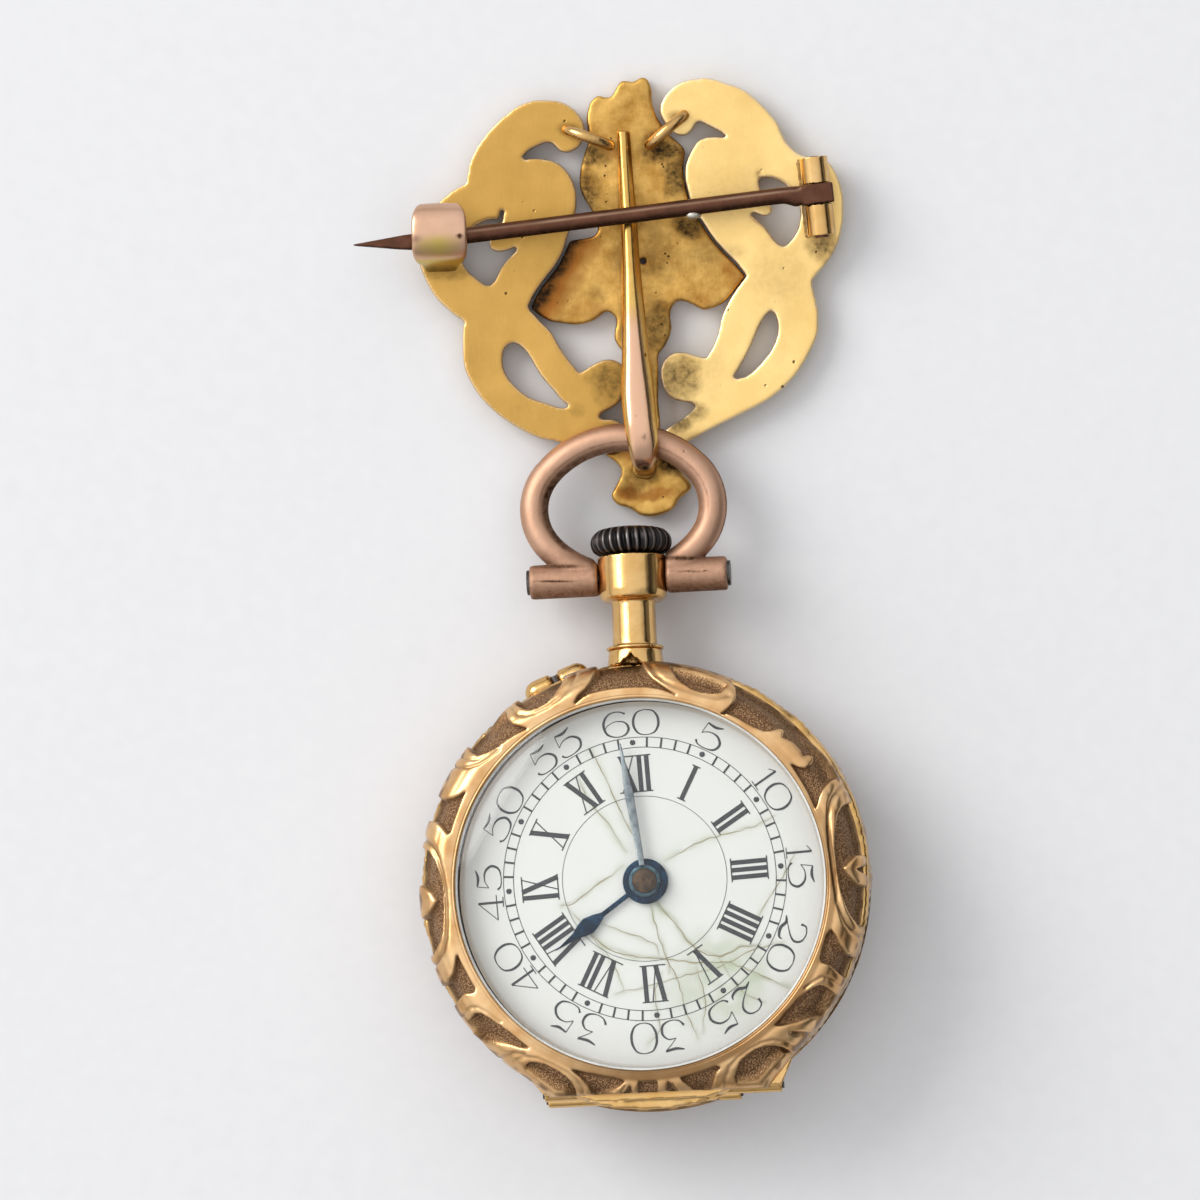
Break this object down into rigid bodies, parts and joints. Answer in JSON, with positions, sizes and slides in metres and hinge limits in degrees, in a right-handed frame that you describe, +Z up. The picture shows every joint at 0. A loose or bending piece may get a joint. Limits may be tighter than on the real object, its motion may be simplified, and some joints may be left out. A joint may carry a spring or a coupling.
{
  "type": "pendant watch with brooch",
  "caption": "Small keyless pendant watch with a carved case, hung by its bow from a scrolled brooch pin.",
  "frame": {"origin": "middle of the whole part seen from above, on the table it lies on", "axes": "+Z up off the table, out of the dial; +Y from the watch to the brooch; +X towards the pin's hinge"},
  "size_m": [0.031, 0.0618, 0.0102],
  "materials": {
    "satin_yellow_gold": "satin yellow gold, brushed backs with polished rims",
    "tarnished_gold": "worn yellow gold, tarnished brown and pitted",
    "yellow_gold": "polished yellow gold",
    "rose_gold": "polished rose gold",
    "carved_gold": "rose gold, polished scrolls over dark stippled grounds",
    "rusted_steel": "steel darkened by brown rust",
    "dark_steel": "dark polished steel",
    "black_steel": "black knurled steel",
    "grey_steel": "thin grey polished steel",
    "blued_steel": "steel blued by heat",
    "gilt_brass": "gilt brass",
    "white_enamel": "glossy white enamel, hairline cracks",
    "crystal_glass": "clear domed watch glass"
  },
  "bodies": {
    "brooch": {"left_scroll": "satin_yellow_gold", "right_scroll": "satin_yellow_gold", "centre_plaque": "tarnished_gold", "jump_ring_left": "yellow_gold", "jump_ring_right": "yellow_gold", "hook": "rose_gold", "catch": "rose_gold", "pin_hinge": "yellow_gold", "hinge_rivet": "dark_steel", "bow": "rose_gold"},
    "pin": {"pin_stem": "rusted_steel"},
    "watch": {"case_middle": "yellow_gold", "pendant": "yellow_gold", "bow_screw_left": "dark_steel", "bow_screw_right": "dark_steel", "push_guard": "yellow_gold", "dust_cover": "yellow_gold", "movement": "gilt_brass", "dial": "white_enamel", "centre_post": "dark_steel", "bezel_hinge_pin": "dark_steel", "back_hinge_pin": "dark_steel"},
    "winder": {"crown": "black_steel", "winding_stem": "dark_steel"},
    "push_piece": {"push_pin": "dark_steel"},
    "minute_hand": {"minute_hand": "grey_steel"},
    "hour_hand": {"hour_hand": "blued_steel"},
    "front": {"bezel": "carved_gold", "crystal": "crystal_glass"},
    "back": {"back_cover": "carved_gold"}
  },
  "joints": [
    {"name": "bow_pivot", "type": "hinge", "parent": "brooch", "child": "watch", "pos_m": [0.00123, 0.00093, 0.00325], "axis": [-0.9949, -0.0503, -0.0869], "range_deg": [-90, 90]},
    {"name": "pin_open", "type": "hinge", "parent": "brooch", "child": "pin", "pos_m": [0.01228, 0.02386, 0.00255], "axis": [-0.1097, 0.994, 0], "range_deg": [0, 90]},
    {"name": "crown_turn", "type": "hinge", "parent": "watch", "child": "winder", "pos_m": [0.00115, 0.00301, 0.00297], "axis": [-0.0387, 0.9907, -0.1303], "continuous": true},
    {"name": "push_in", "type": "slide", "parent": "watch", "child": "push_piece", "axis": [0.3972, -0.9118, 0.1044], "range_m": [0, 0.0003], "stiffness_N_per_m": 200},
    {"name": "minute_turn", "type": "hinge", "parent": "watch", "child": "minute_hand", "pos_m": [0.00198, -0.01706, 0.00749], "axis": [0.0905, -0.0743, -0.9931], "continuous": true},
    {"name": "hour_turn", "type": "hinge", "parent": "watch", "child": "hour_hand", "pos_m": [0.00198, -0.01706, 0.00749], "axis": [0.0905, -0.0743, -0.9931], "continuous": true},
    {"name": "bezel_open", "type": "hinge", "parent": "watch", "child": "front", "pos_m": [0.00304, -0.02946, 0.007], "axis": [0.9949, 0.0503, 0.0869], "range_deg": [0, 90]},
    {"name": "back_open", "type": "hinge", "parent": "watch", "child": "back", "pos_m": [0.00195, -0.02997, 0.00493], "axis": [-0.9949, -0.0503, -0.0869], "range_deg": [0, 90]}
  ],
  "couplings": [
    {"joint": "hour_turn", "follows": "minute_turn", "ratio": 0.083333}
  ]
}
